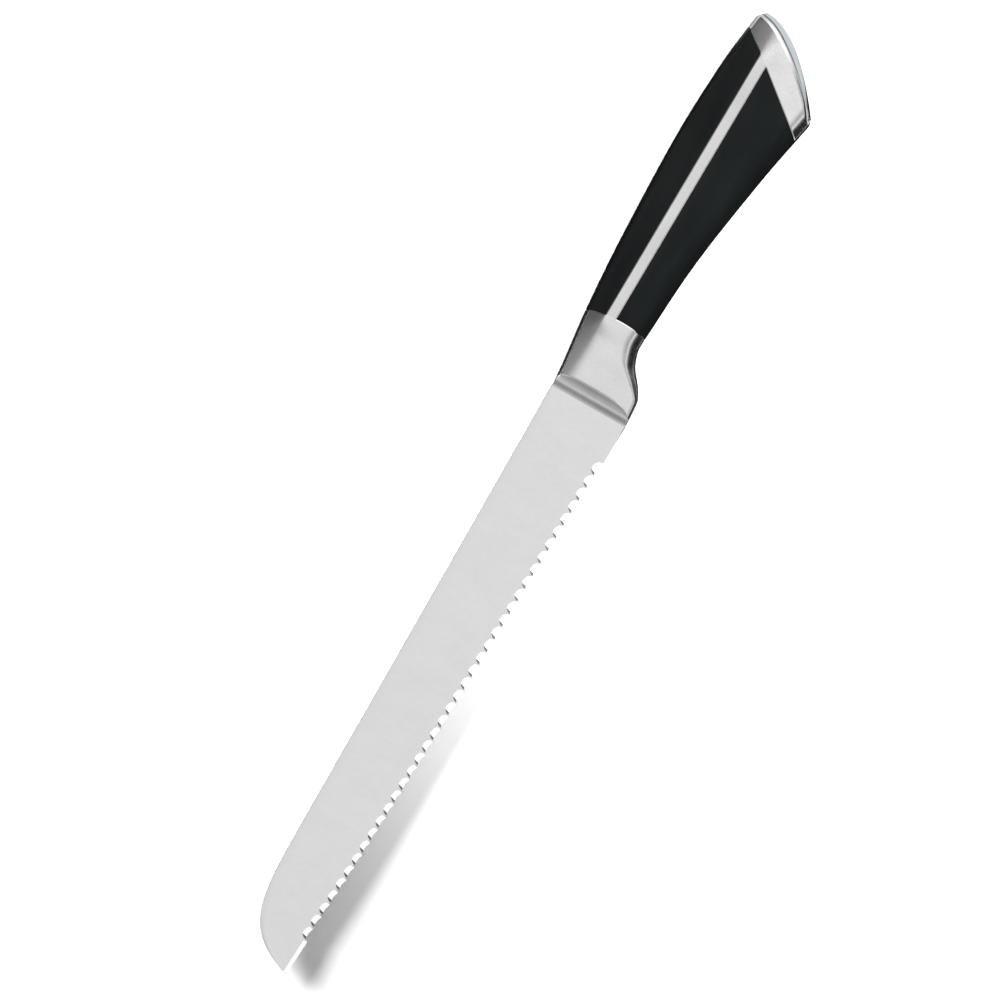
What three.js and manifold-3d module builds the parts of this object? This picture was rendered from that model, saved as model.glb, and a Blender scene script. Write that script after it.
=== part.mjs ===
// Bread knife: a scalloped blade with a hidden tang, a cast bolster, two inlaid handle strips,
// two moulded grip covers over a clamped core, an end cap and a domed butt plate.
// Millimetres. The knife lies on its right side: +X from the tip to the butt, +Y towards the
// spine, +Z out of the left side. While it is built, x = 0 is the tip, y = 0 the blade's spine
// and z = 0 the blade's middle plane. The group is then moved to the bottom centre of its box.
import * as THREE from "three";
import { mergeVertices } from "three/addons/utils/BufferGeometryUtils.js";
import Module from "manifold-3d";

const wasm = await Module();
wasm.setup();

const GAP = 0.3; // between pieces that touch on the real knife

// Blade
const BLADE_LENGTH = 201.2;
const BLADE_HEIGHT = 26.6; // at the heel
const TIP_DROP = 19.3; // the tip lies this far below the spine
const EDGE_LINE = [[0, -19.3], [12.2, -20.05], [36, -21.8], [88, -23.8], [187.4, -26.6]]; // points
const TIP_ROUND = 38; // length of the spine's curve down to the tip
const TIP_BULGE = [[5.6, -3], [12, 0]]; // control points of that curve
const BLADE_THICK = 1.8;
const PLAIN_TIP = 12.2; // unserrated edge behind the tip
const PLAIN_HEEL = 13.8; // unserrated edge in front of the bolster
const TIP_STEPS = 12; // stations along the plain tip
const TIP_BEVEL = 1.2; // height of the plain tip's ground bevel
const TIP_SETBACK = 0.25; // how far the left face starts behind the right one, as a share of it
const SCALLOPS = 38;
const SCALLOP_STEPS = 8; // straight steps along one scallop
const GULLET_DEPTH = 1.2; // on the right face, from the line of the points
const GRIND_DEPTH = 2.85; // on the left face, where the scallops are ground
const POINT_GRIND = 0.6; // ground height above each point
const GRIND_FULLNESS = 0.7; // lower is squarer
const GULLET_FULLNESS = 0.8;
const GULLET_SKEW = 0.85; // below 1 the gullet is deepest on the tip's side

// Tang
const TANG_THICK = 1.5;
const TANG_END = 300;
const TANG_LAP = 4; // how far the tang's root runs into the blade
const TANG_TOP = [-3.5, -7.5]; // at the root and at the end
const TANG_FOOT = [-15, -14.6]; // at both ends and at the waist
const TANG_WAIST = 218;
const PIN_RADIUS = 2.5;
const PIN_SIDES = 28;
const PIN_PLACES = [[246, -8.6], [286, -10.2]];

// Handle envelope, by stations along x: [x, value]
const HANDLE_START = BLADE_LENGTH + GAP;
const SPINE_LINE = [[201, -0.2], [204, 0], [228, 2.5], [252, 4.0], [288, 4.9], [313, 3.9], [340, 0.6]];
const BELLY_LINE = [
  [201, -26.6], [209.6, -26], [213.2, -24.3], [219.8, -19.6], [225, -18.2], [232, -18.6],
  [250.5, -19.8], [288, -25.2], [312, -30.0], [340, -35.8],
];
const RIDGE_LINE = [[201, -3.3], [340, -5.6]];
const RIDGE_WIDTH = [[201, 6.2], [228, 8.0], [280, 9.3], [340, 10.8]]; // half width at the ridge
const SPINE_WIDTH = [[201, 4.6], [215, 4.4], [228, 4.1], [280, 4.6], [340, 6.0]]; // at its edges
const ROLL_HEIGHT = [[201, 1.4], [211, 1.4], [224, 3.4], [340, 3.8]]; // the belly's rounding
const SPINE_CROWN = 0.9; // rise of the rounded spine over its edges
const CROWN_KNEE = [0.35, 0.6]; // a point of the crown, as shares of its drop and its half width
const INSET_NARROW = 0.7; // how much of an inset the spine's edge takes sideways
const ROLL_SHRINK = 1 / 6; // how fast the rounding shrinks with an inset, for each millimetre
const SIDE_LEAN = 0.052; // the main side facets lean in towards the belly by this share
const SIDE_STEPS = 6;
const ROLL_STEPS = 5;

// Bolster front: the side face ends on a curved edge, and a hollow slope runs down to the blade
const SLOPE_REACH = 5.3;
const SLOPE_MIDDLE = -13.3;
const SLOPE_HALF = 13.5;
const SLOPE_FOOT = 1.2; // half thickness where the slope meets the blade
const SLOPE_POWER = 1.6;
const SLOPE_CORNERS = [4, 2]; // powers of the curved edge above and below its middle
const SLOPE_LEAST = 0.2; // reach left at both ends of that edge

// Joint between the bolster and the grip: an arc in side view
const JOINT_ARC_RADIUS = 40;
const JOINT_ARC_CENTRE = [189, -9.5];
const JOINT_ARC_TURN = 36; // degrees to each side
const JOINT_ARC_STEPS = 12;

// Strips, covers and core
const STRIP_LINE = [[228, -3.75], [323.3, -5.31]]; // upper edge, which follows the ridge
const STRIP_HEIGHT = 3.65;
const COVER_THICK = 2.5;

// End cap: its front is a slanted plane and its rim a curve in side view
const CAP_FRONT = [[329.1, 2.2], [304.6, -28.6]];
const CAP_FRONT_SPAN = [6, -45]; // its cutting plane runs between these heights
const CAP_WALL = 2.2;
const CAP_WEB = 2.6; // thickness across x of the wall that the screws clamp
const WEB_SHARE = 0.8; // its thickness square to the slanted plane, as a share of that
const RIM = [[334.4, 1.2], [334.1, -9.6], [312.6, -29.4]];
const RIM_STEPS = 12;
const RIM_ABOVE = 6; // the rim's cutting line starts at this height
const RIM_BELOW = [-8, -7.4]; // and runs on by this past its lower end
const CROWN = [[335.8, 0.2], [336.1, -12.8], [313.3, -29.4]];
const SPIGOT = 1.8; // how far the butt plate reaches into the cap
const SPIGOT_LAP = 0.1; // how far it runs into the dome
const DOME_STEPS = 5;
const DOME_TURN = 0.97; // share of a quarter turn that the dome makes, which leaves a narrow flat
const SCREW_RADIUS = 1.5;
const SCREW_SIDES = 24;
const SCREW_LENGTH = 12;
const SCREW_HEAD = [2.7, 2.0]; // radius and height
const SCREW_SPREAD = 4.3; // distance of each screw from the middle plane
const SCREW_PLACE = 0.5; // share of the way down the cap's front plane

const TALL = 60; // half height of the cutting prisms
const BEYOND = 360; // an x past the butt
const WIDE = 20; // half width of the cutting prisms
const WELD = 1e-4; // points closer than this are one point

// ---------- small tools ----------

// A value that runs smoothly through [x, value] stations, by cubic Hermite steps.
function along(stations, x) {
  const last = stations.length - 2;
  let i = 0;
  while (i < last && x > stations[i + 1][0]) i += 1;
  const rise = (k) => (stations[k + 1][1] - stations[k][1]) / (stations[k + 1][0] - stations[k][0]);
  const bend = (k) => {
    if (k === 0) return rise(0);
    if (k === last + 1) return rise(last);
    const [before, after] = [rise(k - 1), rise(k)];
    return before * after > 0 ? (2 * before * after) / (before + after) : 0;
  };
  const width = stations[i + 1][0] - stations[i][0];
  const t = (x - stations[i][0]) / width;
  const [a, b] = [stations[i][1], stations[i + 1][1]];
  const [u, v] = [bend(i) * width, bend(i + 1) * width];
  return a + t * (u + t * (3 * (b - a) - 2 * u - v + t * (2 * (a - b) + u + v)));
}

function lineAt([[x0, y0], [x1, y1]], x) {
  return y0 + ((x - x0) * (y1 - y0)) / (x1 - x0);
}

function curvePoint([a, b, c], t) {
  const at = (k) => (1 - t) ** 2 * a[k] + 2 * (1 - t) * t * b[k] + t ** 2 * c[k];
  return [at(0), at(1)];
}

// A closed three.js geometry as a manifold solid.
function solid(geometry) {
  const bare = geometry.index ? geometry.toNonIndexed() : geometry.clone();
  for (const name of Object.keys(bare.attributes)) {
    if (name !== "position") bare.deleteAttribute(name);
  }
  const merged = mergeVertices(bare, WELD);
  return new wasm.Manifold(new wasm.Mesh({
    numProp: 3,
    vertProperties: merged.attributes.position.array,
    triVerts: new Uint32Array(merged.index.array),
  }));
}

// A manifold solid as a flat-shaded three.js geometry.
function geometryOf(manifold) {
  const mesh = manifold.getMesh();
  const indexed = new THREE.BufferGeometry();
  indexed.setAttribute("position", new THREE.BufferAttribute(mesh.vertProperties, 3));
  indexed.setIndex(new THREE.BufferAttribute(mesh.triVerts, 1));
  const flat = indexed.toNonIndexed();
  flat.computeVertexNormals();
  return flat;
}

// A prism along z over an outline in x and y.
function prism(points, low = -WIDE, high = WIDE) {
  const shape = new THREE.Shape(points.map(([x, y]) => new THREE.Vector2(x, y)));
  const geometry = new THREE.ExtrudeGeometry(shape, { depth: high - low, bevelEnabled: false });
  return solid(geometry.translate(0, 0, low));
}

function solidOf(corners, faces) {
  const geometry = new THREE.BufferGeometry();
  geometry.setAttribute("position", new THREE.Float32BufferAttribute(corners.flat(), 3));
  geometry.setIndex(faces.flat());
  return solid(geometry);
}

// Rings along +x, each the mirror image of itself in z, skinned into one closed solid. Point 0
// lies on the spine, and the left side comes first.
function skin(rings) {
  const count = rings[0].length;
  const faces = [];
  for (let r = 0; r + 1 < rings.length; r += 1) {
    for (let j = 0; j < count; j += 1) {
      const [a, b] = [r * count + j, r * count + ((j + 1) % count)];
      faces.push([a, b, a + count], [b, b + count, a + count]);
    }
  }
  const end = (rings.length - 1) * count;
  for (let j = 0; j < count / 2; j += 1) {
    const [c, d] = [count - j - 1, (count - j) % count];
    for (const [p, q, r] of [[j, j + 1, c], [j, c, d]]) {
      if (p === q || q === r || r === p) continue;
      faces.push([r, q, p], [end + p, end + q, end + r]);
    }
  }
  return solidOf(rings.flat(), faces);
}

// ---------- blade ----------

const TIP_CURVE = new THREE.CubicBezierCurve(
  new THREE.Vector2(0, -TIP_DROP),
  new THREE.Vector2(...TIP_BULGE[0]),
  new THREE.Vector2(...TIP_BULGE[1]),
  new THREE.Vector2(TIP_ROUND, 0),
);

function spineY(x) {
  if (x >= TIP_ROUND) return 0;
  let [low, high] = [0, 1];
  for (let n = 0; n < 40; n += 1) {
    const t = (low + high) / 2;
    if (TIP_CURVE.getPoint(t).x < x) low = t;
    else high = t;
  }
  return TIP_CURVE.getPoint(low).y;
}

// The blade's outline on one face, counter-clockwise from the tip: the edge's stations up to the
// heel, then the spine's back again. lift(share) is how far a scallop stays above the points.
function bladeOutline(lift, tipLift) {
  const start = tipLift * TIP_SETBACK;
  const stations = [];
  for (let k = 1; k < TIP_STEPS; k += 1) {
    const x = start + (PLAIN_TIP - GAP - start) * (k / (TIP_STEPS - 1)) ** 2;
    stations.push([x, along(EDGE_LINE, x) + tipLift]);
  }
  const pitch = (BLADE_LENGTH - PLAIN_TIP - PLAIN_HEEL) / SCALLOPS;
  for (let n = 0; n < SCALLOPS * SCALLOP_STEPS; n += 1) {
    const x = PLAIN_TIP + (pitch * n) / SCALLOP_STEPS;
    stations.push([x, along(EDGE_LINE, x) + lift((n % SCALLOP_STEPS) / SCALLOP_STEPS)]);
  }
  stations.push([BLADE_LENGTH - PLAIN_HEEL, -BLADE_HEIGHT], [BLADE_LENGTH, -BLADE_HEIGHT]);
  const spine = stations.map(([x]) => [x, spineY(x)]).reverse();
  return [[start, spineY(start)], ...stations, ...spine];
}

function bladePlate() {
  const hump = (share, power) => Math.sin(Math.PI * share) ** power;
  const left = bladeOutline(
    (share) => POINT_GRIND + (GRIND_DEPTH - POINT_GRIND) * hump(share, GRIND_FULLNESS),
    TIP_BEVEL,
  );
  const right = bladeOutline((share) => GULLET_DEPTH * hump(share ** GULLET_SKEW, GULLET_FULLNESS), 0);
  const count = left.length;
  const faces = [];
  const face = (a, b, c) => faces.push([a, b, c], [count + c, count + b, count + a]);
  face(0, 1, count - 1);
  for (let k = 1; k < (count - 1) / 2; k += 1) {
    face(count - k, k, k + 1);
    face(count - k, k + 1, count - k - 1);
  }
  for (let i = 0; i < count; i += 1) {
    const next = (i + 1) % count;
    faces.push([i, i + count, next], [next, i + count, next + count]);
  }
  const half = BLADE_THICK / 2;
  const corners = [
    ...left.map(([x, y]) => [x, y, half]),
    ...right.map(([x, y]) => [x, y, -half]),
  ];
  return solidOf(corners, faces);
}

function tangOutline(grow) {
  const root = BLADE_LENGTH - TANG_LAP;
  return [
    [root, TANG_TOP[0] + grow],
    [root, TANG_FOOT[0] - grow],
    [TANG_WAIST, TANG_FOOT[1] - grow],
    [TANG_END + grow, TANG_FOOT[0] - grow],
    [TANG_END + grow, TANG_TOP[1] + grow],
  ];
}

function pinHole(place, grow) {
  const hole = new THREE.CylinderGeometry(PIN_RADIUS + grow, PIN_RADIUS + grow, 2 * WIDE, PIN_SIDES);
  hole.rotateX(Math.PI / 2).translate(place[0], place[1], 0);
  return solid(hole);
}

function blade() {
  const half = TANG_THICK / 2;
  let made = bladePlate().add(prism(tangOutline(0), -half, half));
  for (const place of PIN_PLACES) made = made.subtract(pinHole(place, GAP));
  return made;
}

// ---------- handle envelope ----------

// How far out the bolster's front slope lets the side stand at a point.
function slopeLimit(x, y) {
  const t = Math.min(1, Math.abs(y - SLOPE_MIDDLE) / SLOPE_HALF);
  const power = SLOPE_CORNERS[y > SLOPE_MIDDLE ? 0 : 1];
  const reach = SLOPE_REACH * (1 - t ** power) ** (1 / power) + SLOPE_LEAST;
  const share = Math.max(0, x - HANDLE_START) / reach;
  const full = along(RIDGE_WIDTH, x);
  return share >= 1 ? Infinity : SLOPE_FOOT + (full - SLOPE_FOOT) * share ** SLOPE_POWER;
}

// One half of the handle's section at x, from the spine to the belly, as [y, z] points.
function halfSection(x, inset) {
  const top = along(SPINE_LINE, x) - inset;
  const bottom = along(BELLY_LINE, x) + inset;
  const ridge = along(RIDGE_LINE, x);
  const wide = along(RIDGE_WIDTH, x) - inset;
  const narrow = along(SPINE_WIDTH, x) - INSET_NARROW * inset;
  const roll = along(ROLL_HEIGHT, x) * (1 - ROLL_SHRINK * inset);
  const low = wide - SIDE_LEAN * (ridge - bottom - roll);
  const knee = [top - CROWN_KNEE[0] * SPINE_CROWN, CROWN_KNEE[1] * narrow];
  const points = [[top, 0], knee, [top - SPINE_CROWN, narrow]];
  points.push([(top - SPINE_CROWN + ridge) / 2, (narrow + wide) / 2]);
  for (let k = 0; k < SIDE_STEPS; k += 1) {
    const share = k / SIDE_STEPS;
    points.push([ridge + (bottom + roll - ridge) * share, wide + (low - wide) * share]);
  }
  for (let k = 0; k <= ROLL_STEPS; k += 1) {
    const angle = (k / ROLL_STEPS) * (Math.PI / 2);
    points.push([bottom + roll * (1 - Math.sin(angle)), low * Math.cos(angle)]);
  }
  points.at(-1)[1] = 0;
  return inset > 0 ? points : points.map(([y, z]) => [y, Math.min(z, slopeLimit(x, y))]);
}

// The whole section as a ring of [x, y, z], the left side first and then the right.
function sectionRing(x, inset) {
  const half = halfSection(x, inset);
  const left = half.map(([y, z]) => [x, y, z]);
  const right = half.slice(1, -1).reverse().map(([y, z]) => [x, y, -z]);
  return [...left, ...right];
}

// Where the handle's sections stand: close together over the bolster, then every 10 mm.
const STATIONS = [
  HANDLE_START, 202.6, 203.8, 205, 206.2, 207.2, 209.5, 212, 214, 216, 218, 220, 222.5, 226, 232,
  240, 250, 260, 270, 280, 290, 300, 310, 320, 330, 339,
];

function envelope(inset) {
  return skin(STATIONS.map((x) => sectionRing(x, inset)));
}

// ---------- side-view regions ----------

// Lines across the handle from above it to below it, moved by shift along x.
function jointArc(shift) {
  const [x, y] = JOINT_ARC_CENTRE;
  const points = [];
  for (let k = 0; k <= JOINT_ARC_STEPS; k += 1) {
    const angle = THREE.MathUtils.degToRad(JOINT_ARC_TURN * (1 - (2 * k) / JOINT_ARC_STEPS));
    points.push([
      x + shift + JOINT_ARC_RADIUS * Math.cos(angle),
      y + JOINT_ARC_RADIUS * Math.sin(angle),
    ]);
  }
  return points;
}

function capFront(shift) {
  const slope = (CAP_FRONT[0][0] - CAP_FRONT[1][0]) / (CAP_FRONT[0][1] - CAP_FRONT[1][1]);
  const at = (y) => [CAP_FRONT[0][0] + shift + slope * (y - CAP_FRONT[0][1]), y];
  return CAP_FRONT_SPAN.map(at);
}

function rimCurve(shift) {
  const points = [];
  for (let k = 0; k <= RIM_STEPS; k += 1) {
    const [x, y] = curvePoint(RIM, k / RIM_STEPS);
    points.push([x + shift, y]);
  }
  const [first, last] = [points[0], points.at(-1)];
  return [
    [first[0], RIM_ABOVE],
    ...points,
    [last[0] + RIM_BELOW[0], last[1] + RIM_BELOW[1]],
  ];
}

function fromLeft(x) {
  return [[x, TALL / 2], [x, -TALL]];
}

function between(front, back) {
  return prism([...front, ...back.slice().reverse()]);
}

const gripRegion = () => between(jointArc(GAP), capFront(0));

// ---------- pieces ----------

function bolster(outer) {
  const slot = prism(tangOutline(GAP), -TANG_THICK / 2 - GAP, TANG_THICK / 2 + GAP);
  return outer.intersect(between(fromLeft(HANDLE_START - 1), jointArc(0))).subtract(slot);
}

// The band between two heights beside the strip's upper edge, over the whole grip.
function band(above, below) {
  const [x0, x1] = [HANDLE_START, BEYOND];
  const y = (x) => lineAt(STRIP_LINE, x);
  return prism([[x0, y(x0) + above], [x1, y(x1) + above], [x1, y(x1) + below], [x0, y(x0) + below]]);
}

function covers(outer, inner) {
  const shell = outer.subtract(inner).intersect(gripRegion());
  return {
    spine: shell.intersect(band(TALL, GAP)),
    belly: shell.intersect(band(-STRIP_HEIGHT - GAP, -TALL)),
    strips: shell.intersect(band(0, -STRIP_HEIGHT)),
  };
}

function side(piece, sign) {
  const [low, high] = sign > 0 ? [GAP / 2, WIDE] : [-WIDE, -GAP / 2];
  const all = [[HANDLE_START - 1, TALL], [BEYOND, TALL], [BEYOND, -TALL], [HANDLE_START - 1, -TALL]];
  return piece.intersect(prism(all, low, high));
}

// A cylinder along the slanted cap's inward normal, from depth start to depth end.
function capCylinder(sign, radius, start, end) {
  const [top, foot] = CAP_FRONT.map(([x, y]) => new THREE.Vector3(x, y, 0));
  const normal = new THREE.Vector3(foot.y - top.y, top.x - foot.x, 0).normalize();
  const middle = top.clone().lerp(foot, SCREW_PLACE).add(new THREE.Vector3(0, 0, sign * SCREW_SPREAD));
  const geometry = new THREE.CylinderGeometry(radius, radius, end - start, SCREW_SIDES);
  const turn = new THREE.Quaternion().setFromUnitVectors(new THREE.Vector3(0, 1, 0), normal);
  geometry.applyQuaternion(turn);
  const centre = middle.addScaledVector(normal, (start + end) / 2);
  return solid(geometry.translate(centre.x, centre.y, centre.z));
}

function core() {
  let made = envelope(COVER_THICK + GAP).intersect(between(jointArc(GAP), capFront(-GAP)));
  made = made.subtract(prism(tangOutline(GAP), -TANG_THICK / 2 - GAP, TANG_THICK / 2 + GAP));
  for (const place of PIN_PLACES) made = made.subtract(pinHole(place, GAP));
  for (const sign of [1, -1]) {
    made = made.subtract(capCylinder(sign, SCREW_RADIUS + GAP, -2, SCREW_LENGTH + GAP));
  }
  return made;
}

function pin(place) {
  const reach = along(RIDGE_WIDTH, place[0]) - COVER_THICK - 3 * GAP;
  const geometry = new THREE.CylinderGeometry(PIN_RADIUS, PIN_RADIUS, 2 * reach, PIN_SIDES);
  return solid(geometry.rotateX(Math.PI / 2).translate(place[0], place[1], 0));
}

// Along the cap's normal, behind the web, which is thinner square to the plane than across x
const HEAD_SEAT = -(WEB_SHARE * CAP_WEB + 2 * GAP);

function endCap(outer) {
  const body = outer.intersect(between(capFront(GAP), rimCurve(0)));
  const recess = envelope(CAP_WALL).intersect(between(capFront(GAP + CAP_WEB), fromLeft(BEYOND)));
  let made = body.subtract(recess);
  for (const sign of [1, -1]) {
    made = made.subtract(capCylinder(sign, SCREW_RADIUS + GAP, -10, 2));
  }
  return made;
}

function capScrew(sign) {
  const [radius, height] = SCREW_HEAD;
  const shank = capCylinder(sign, SCREW_RADIUS, HEAD_SEAT - height / 2, SCREW_LENGTH);
  return shank.add(capCylinder(sign, radius, HEAD_SEAT - height, HEAD_SEAT));
}

// Where the section's j-th line crosses the rim: its share down the rim curve, and its z.
function rimCrossing(j) {
  let x = RIM[1][0];
  let share = 0;
  for (let pass = 0; pass < 12; pass += 1) {
    const [, y] = sectionRing(x, 0)[j];
    let [low, high] = [0, 1];
    for (let n = 0; n < 30; n += 1) {
      share = (low + high) / 2;
      if (curvePoint(RIM, share)[1] > y) low = share;
      else high = share;
    }
    x = curvePoint(RIM, share)[0];
  }
  return { share, z: sectionRing(x, 0)[j][2] };
}

function buttDome() {
  const crossings = sectionRing(RIM[1][0], 0).map((_, j) => rimCrossing(j));
  const rings = [];
  for (let k = 0; k <= DOME_STEPS; k += 1) {
    const angle = (k / DOME_STEPS) * (Math.PI / 2) * DOME_TURN;
    rings.push(crossings.map(({ share, z }) => {
      const [rim, crown] = [curvePoint(RIM, share), curvePoint(CROWN, share)];
      const out = Math.sin(angle);
      return [
        rim[0] + GAP * (1 - out) + (crown[0] - rim[0]) * out,
        rim[1] + (crown[1] - rim[1]) * out,
        z * Math.cos(angle),
      ];
    }));
  }
  return skin(rings);
}

function buttPlate() {
  const spigot = envelope(CAP_WALL + GAP).intersect(between(rimCurve(-SPIGOT), rimCurve(GAP + SPIGOT_LAP)));
  return buttDome().add(spigot);
}

// ---------- materials and assembly ----------

function steel(colour, roughness) {
  return new THREE.MeshStandardMaterial({ color: colour, roughness, metalness: 1 });
}

function plastic(colour, roughness) {
  return new THREE.MeshStandardMaterial({ color: colour, roughness, metalness: 0 });
}

const group = new THREE.Group();
group.name = "bread_knife";

function place(name, manifold, material) {
  const mesh = new THREE.Mesh(geometryOf(manifold), material);
  mesh.name = name;
  group.add(mesh);
}

const outer = envelope(0);
const shells = covers(outer, envelope(COVER_THICK));
const clamped = core();

place("blade", blade(), steel(0xd9d9d9, 0.35));
place("bolster", bolster(outer), steel(0xcfcfcf, 0.32));
place("left_strip", side(shells.strips, 1), steel(0xd4d4d4, 0.38));
place("right_strip", side(shells.strips, -1), steel(0xd4d4d4, 0.38));
place("spine_cover", shells.spine, plastic(0x1c1f1f, 0.45));
place("belly_cover", shells.belly, plastic(0x1c1f1f, 0.45));
place("left_core", side(clamped, 1), plastic(0x2b2b2b, 0.7));
place("right_core", side(clamped, -1), plastic(0x2b2b2b, 0.7));
place("front_tang_pin", pin(PIN_PLACES[0]), steel(0xb8b8b8, 0.4));
place("rear_tang_pin", pin(PIN_PLACES[1]), steel(0xb8b8b8, 0.4));
place("end_cap", endCap(outer), steel(0xcfcfcf, 0.32));
place("left_cap_screw", capScrew(1), steel(0xb0b0b0, 0.4));
place("right_cap_screw", capScrew(-1), steel(0xb0b0b0, 0.4));
place("butt_plate", buttPlate(), steel(0xdfe5e6, 0.15));

const box = new THREE.Box3().setFromObject(group);
const middle = box.getCenter(new THREE.Vector3());
group.position.set(-middle.x, -middle.y, -box.min.z);

export default group;
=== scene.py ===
import math
from collections import namedtuple

import bmesh
import bpy
import numpy as np
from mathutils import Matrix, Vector


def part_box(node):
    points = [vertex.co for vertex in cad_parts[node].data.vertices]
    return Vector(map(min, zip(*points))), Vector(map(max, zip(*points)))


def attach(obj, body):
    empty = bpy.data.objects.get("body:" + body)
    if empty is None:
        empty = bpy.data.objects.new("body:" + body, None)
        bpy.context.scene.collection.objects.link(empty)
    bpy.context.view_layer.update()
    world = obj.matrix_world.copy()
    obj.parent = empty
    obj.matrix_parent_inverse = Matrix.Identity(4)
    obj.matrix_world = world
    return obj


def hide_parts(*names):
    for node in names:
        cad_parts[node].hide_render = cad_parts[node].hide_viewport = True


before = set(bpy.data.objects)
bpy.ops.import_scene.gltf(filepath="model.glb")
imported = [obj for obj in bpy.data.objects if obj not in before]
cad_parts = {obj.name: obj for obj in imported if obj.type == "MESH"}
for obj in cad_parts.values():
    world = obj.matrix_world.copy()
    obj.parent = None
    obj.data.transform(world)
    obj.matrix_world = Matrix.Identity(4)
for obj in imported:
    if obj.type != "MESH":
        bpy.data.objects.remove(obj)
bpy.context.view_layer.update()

# The knife lies on its right side: +X from the tip to the butt, +Y towards the spine, +Z out of
# the left side. Shapes are worked out in millimetres from the tip (x), from the blade's spine
# line (y) and from its middle plane (z), which the CAD blade's box places in the frame.
MM = 0.001
BLADE_LOW, BLADE_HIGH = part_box("blade")
ORIGIN = Vector((BLADE_LOW.x, BLADE_HIGH.y, (BLADE_LOW.z + BLADE_HIGH.z) / 2))

# Blade. Outlines are (x, y) points.
BLADE_LENGTH = 201.2
BLADE_HEIGHT = 26.6
TIP_DROP = 19.3
TIP_ROUND = 38.0
TIP_CURVE = [(0, -TIP_DROP), (5.6, -3), (12, 0), (TIP_ROUND, 0)]
EDGE_LINE = [(0, -19.3), (12.2, -20.05), (36, -21.8), (88, -23.8), (187.4, -26.6)]
BLADE_THICK = 1.8
EDGE_THICK = 0.05
PLAIN_TIP = 12.2
PLAIN_HEEL = 13.8
TIP_BEVEL = 1.2
HEEL_BEVEL = 0.25
SCALLOPS = 38
GULLET_DEPTH = 1.2  # how far a scallop cuts up into the edge line
GRIND_DEPTH = 2.85  # how high the ground hollow reaches in a scallop's middle
POINT_GRIND = 0.35  # and at its points
GRIND_SKEW = 0.5  # how far the hollow's top leans towards the heel
GRIND_PEAK = 0.9  # below 1, a scallop's deepest place moves towards the tip
PAINTED_SHADE_SHARE = 0.28  # the part of each scallop, on the tip's side, whose ground face gets painted shade
SPINE_ROUND = 0.18
CURL_MOST = 0.1  # the most of the blade's height that the spine's rounding takes
GROUND_MOST = 0.8  # the most of it that is ground
LEAST_HEIGHT = 0.02
TANG_HEIGHT = (-3.5, -15.0)
TANG_THICK = 1.5
TANG_LAP = 2.0
TANG_END = 226.0
TIP_COLUMNS = 60
TIP_STEP = 0.03  # between the plain tip's last column and the first scallop
SCALLOP_COLUMNS = 22
HEEL_COLUMNS = 12
HEEL_FADE = 3  # heel columns over which the scallops' grind fades out
GROUND_ROWS = 8
FACE_ROWS = 7
SPINE_TURNS = [math.radians(angle) for angle in (30, 60, 90)]

# Handle, by (x, value) stations
HANDLE_START = BLADE_LENGTH
SPINE_LINE = [(201, -0.2), (204, 0), (228, 2.5), (252, 4.0), (288, 4.88), (313, 3.9), (340, 0.6)]
BELLY_LINE = [
    (201, -26.6), (209.6, -26), (213.2, -24.3), (219.8, -19.6), (225, -18.2), (232, -18.6),
    (250.5, -19.8), (288, -25.2), (312, -30.0), (340, -35.8),
]
RIDGE_LINE = [(201, -3.3), (340, -5.6)]
RIDGE_WIDTH = [(201, 6.2), (228, 8.0), (280, 9.3), (340, 10.8)]
SPINE_WIDTH = [(201, 4.6), (215, 4.4), (228, 4.1), (280, 4.6), (340, 6.0)]
ROLL_HEIGHT = [(201, 1.5), (209, 1.9), (214, 4.2), (220, 5.9), (300, 6.2), (340, 6.6)]
RIDGE_SOFTNESS = [(201, 1.0), (221, 0.9), (228, 0.15), (318, 0.15), (330, 1.5), (340, 2.2)]
RIDGE_DROP = [(201, 1.2), (214, 1.0), (228, 0.1), (318, 0.1), (340, 0.8)]
SPINE_CROWN = 0.9
SPINE_EDGE_SOFTNESS = 0.035
SIDE_LEAN = 0.052
BELLY_CROWN = 0.05
LEAST_HALF_WIDTH = 0.02

# The bolster's hollow front
SLOPE_REACH = 5.5
SLOPE_LEAST = 0.2
SLOPE_WALL = 6.0
SLOPE_MIDDLE = -13.3
SLOPE_HALF = 13.5
SLOPE_FOOT = 0.93
SLOPE_POWER = 2.1
SLOPE_SOFTNESS = 0.12
SLOPE_TOP_SQUARENESS = 4
SLOPE_FOOT_SQUARENESS = 2
SLOPE_ROWS = 16
SLOPE_CROWDING = 1.6
BOLSTER_ROWS = 34
BOLSTER_CROWDING = 1.5

# Joints between the handle's pieces, the strip and the cap
JOINT_ARC_RADIUS = 40.0
JOINT_ARC_CENTRE = (189.0, -9.5)
STRIP_HEIGHT = 3.65
CAP_FRONT = [(329.1, 2.2), (304.6, -28.6)]
RIM = [(334.4, 1.2), (334.1, -9.6), (312.6, -29.4)]
CROWN = [(335.75, -0.75), (336.09, -12.8), (313.3, -29.4)]
WALL = 1.4
CAP_WEB = 2.6
SEAM = 0.07
CHAMFER = 0.38
CHAMFER_SLOPE = 0.355
CHAMFER_CREASE = 0.04
CREASE = 0.02  # between two rows that keep a border firm
COVER_ROUND = 0.16
RIM_ROUND = 2.5
RIM_SEAM = 0.3
RIM_LIP = 0.22
LIP_TOP = 0.1  # how far short of the dome's foot the seam's ring ends
LIP_EDGE = 0.06
SEAT_LAP = 0.01
RIM_TURN = math.radians(50)
DOME_START = math.radians(38)
DOME_STEPS = 18
CAP_ROWS = 26
RIM_ROWS = 9
RECESS_ROWS = 8
COVER_ROWS = 70
COVER_FACET_STEPS = 12
COVER_SIDE_STEPS = 16
STRIP_ROWS = 60
STRIP_STEPS = 6

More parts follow.
